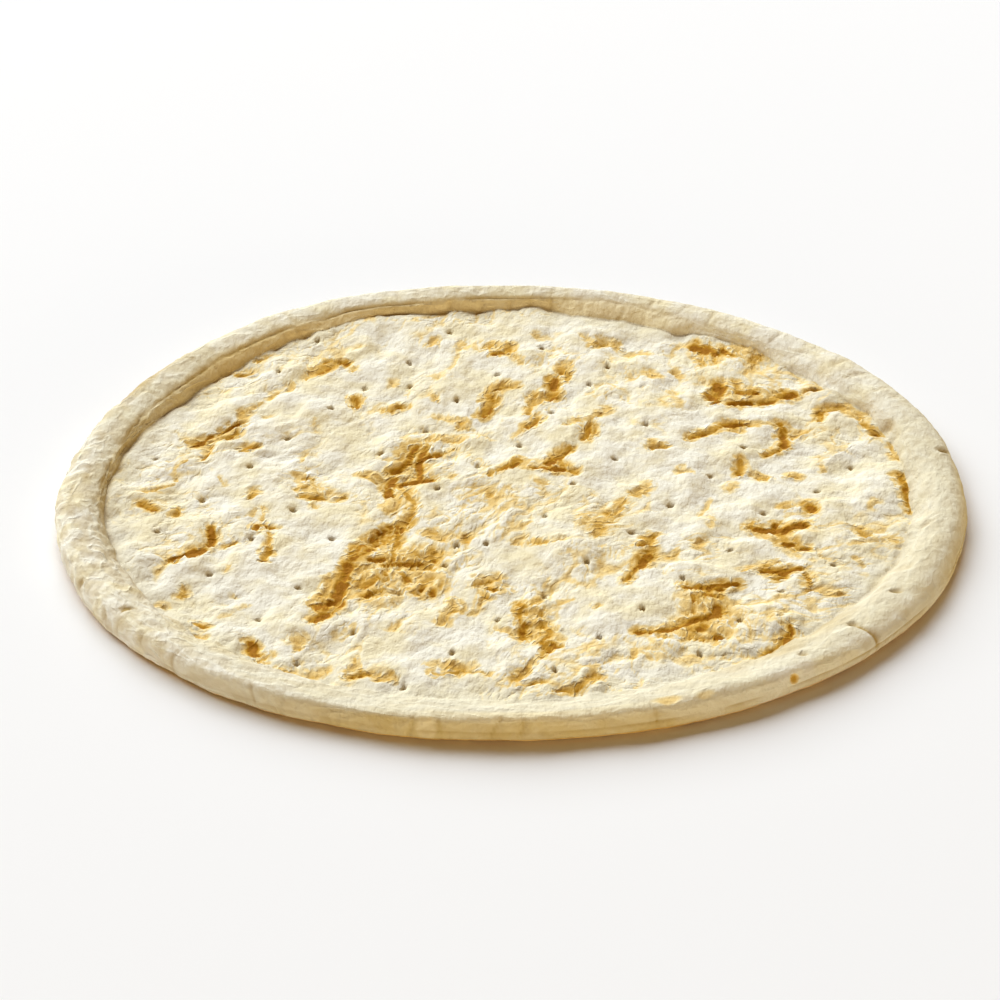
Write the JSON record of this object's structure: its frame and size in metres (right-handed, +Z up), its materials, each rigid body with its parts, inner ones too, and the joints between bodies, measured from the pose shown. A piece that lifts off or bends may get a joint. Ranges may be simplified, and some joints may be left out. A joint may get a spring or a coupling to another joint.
{
  "type": "pizza crust",
  "caption": "Round par-baked pizza crust with a raised rim, a wrinkled floury field with sunken toasted creases, and rows of dock holes. It carries sauce and toppings.",
  "frame": {"origin": "middle of the flat base, on the surface that the crust lies on", "axes": "+Z up out of the field, +X to the right and +Y away from the viewer as the crust is seen in the picture"},
  "size_m": [0.4048, 0.4094, 0.0129],
  "materials": {
    "baked_dough": "matte and floury"
  },
  "bodies": {
    "root": {"crust": "baked_dough"}
  },
  "joints": []
}
